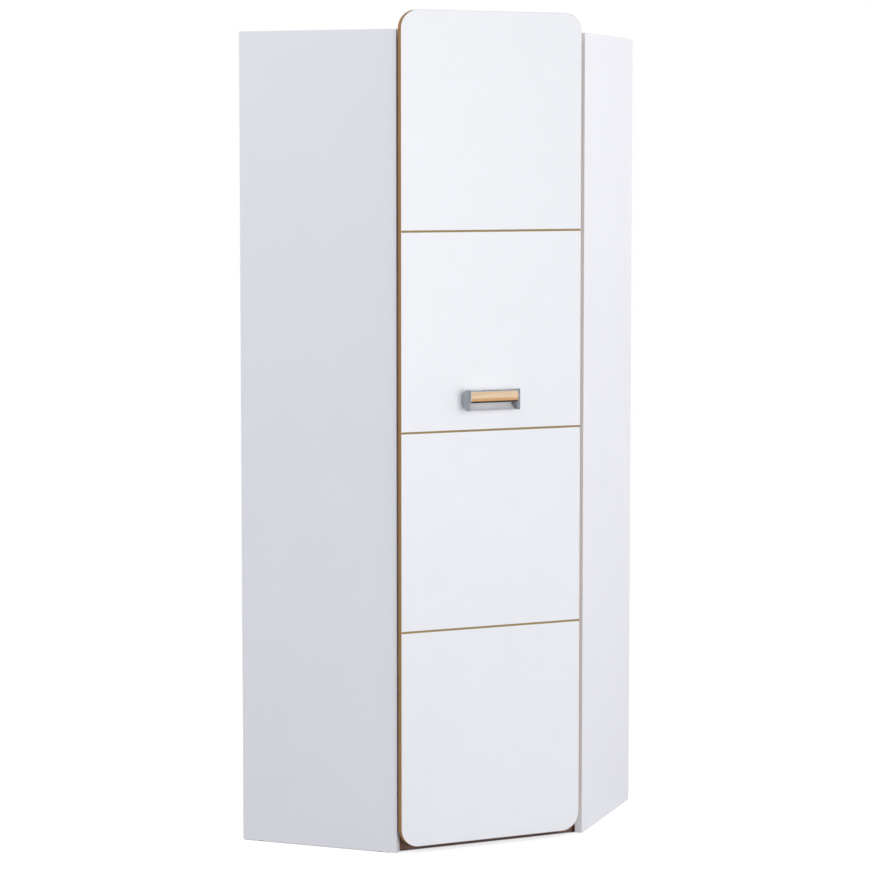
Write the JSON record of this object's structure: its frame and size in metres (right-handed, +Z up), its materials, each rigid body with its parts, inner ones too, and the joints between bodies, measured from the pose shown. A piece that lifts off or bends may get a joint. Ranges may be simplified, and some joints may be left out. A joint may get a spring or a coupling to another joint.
{
  "type": "corner wardrobe",
  "caption": "Tall wardrobe that fills a room corner, with a diagonal round-cornered door, a trough handle with wooden grip, a hat shelf and a clothes rail.",
  "frame": {"origin": "on the floor under the middle of the bounding box, handle and corner post included", "axes": "+Z up, the diagonal door faces -Y, the room corner lies towards +Y, +X to the right seen from the door"},
  "size_m": [1.0606, 0.8666, 1.995],
  "materials": {
    "white_board": "chipboard with white satin foil",
    "white_door": "white foiled fibreboard, golden-brown milled edges and grooves",
    "brown_board": "brown wood-grain foil",
    "hardboard": "thin hardboard, painted pale inside",
    "pine": "planed softwood",
    "beech": "lacquered beech",
    "satin_metal": "satin aluminium",
    "bright_steel": "nickel-plated steel",
    "chrome_tube": "chromed steel tube",
    "grey_plastic": "moulded grey plastic",
    "clear_rubber": "milky soft bumper"
  },
  "bodies": {
    "carcass": {"left_side_panel": "white_board", "right_side_panel": "white_board", "bottom_deck": "white_board", "hat_shelf": "white_board", "top_deck": "white_board", "cam_left_front": "bright_steel", "cam_left_rear": "bright_steel", "cam_right_front": "bright_steel", "cam_right_rear": "bright_steel", "cam_bolt_left_front": "bright_steel", "cam_bolt_left_rear": "bright_steel", "cam_bolt_right_front": "bright_steel", "cam_bolt_right_rear": "bright_steel", "left_back_panel": "hardboard", "right_back_panel": "hardboard", "corner_post": "pine", "plinth": "brown_board", "left_deck_cleat": "pine", "right_deck_cleat": "pine", "left_glide_1": "grey_plastic", "left_glide_2": "grey_plastic", "right_glide_1": "grey_plastic", "right_glide_2": "grey_plastic", "corner_glide": "grey_plastic", "shelf_support_left_front": "bright_steel", "shelf_support_left_rear": "bright_steel", "shelf_support_right_front": "bright_steel", "shelf_support_right_rear": "bright_steel", "shelf_block": "pine", "clothes_rail": "chrome_tube", "left_rail_hanger": "bright_steel", "right_rail_hanger": "bright_steel", "left_wall_bracket": "bright_steel", "right_wall_bracket": "bright_steel", "hinge_arm_1": "bright_steel", "hinge_arm_2": "bright_steel", "hinge_arm_3": "bright_steel", "hinge_arm_4": "bright_steel", "hinge_plate_1": "bright_steel", "hinge_plate_2": "bright_steel", "hinge_plate_3": "bright_steel", "hinge_plate_4": "bright_steel"},
    "door": {"door_panel": "white_door", "upper_door_buffer": "clear_rubber", "lower_door_buffer": "clear_rubber", "handle_trough": "satin_metal", "handle_left_cap": "satin_metal", "handle_right_cap": "satin_metal", "handle_grip": "beech", "handle_left_screw": "bright_steel", "handle_right_screw": "bright_steel", "hinge_cup_1": "bright_steel", "hinge_cup_2": "bright_steel", "hinge_cup_3": "bright_steel", "hinge_cup_4": "bright_steel", "hinge_pin_1": "bright_steel", "hinge_pin_2": "bright_steel", "hinge_pin_3": "bright_steel", "hinge_pin_4": "bright_steel"}
  },
  "joints": [
    {"name": "door_swing", "type": "hinge", "parent": "carcass", "child": "door", "pos_m": [0.21899, -0.38376, 1.006], "axis": [0, 0, 1], "range_deg": [0, 95]}
  ]
}
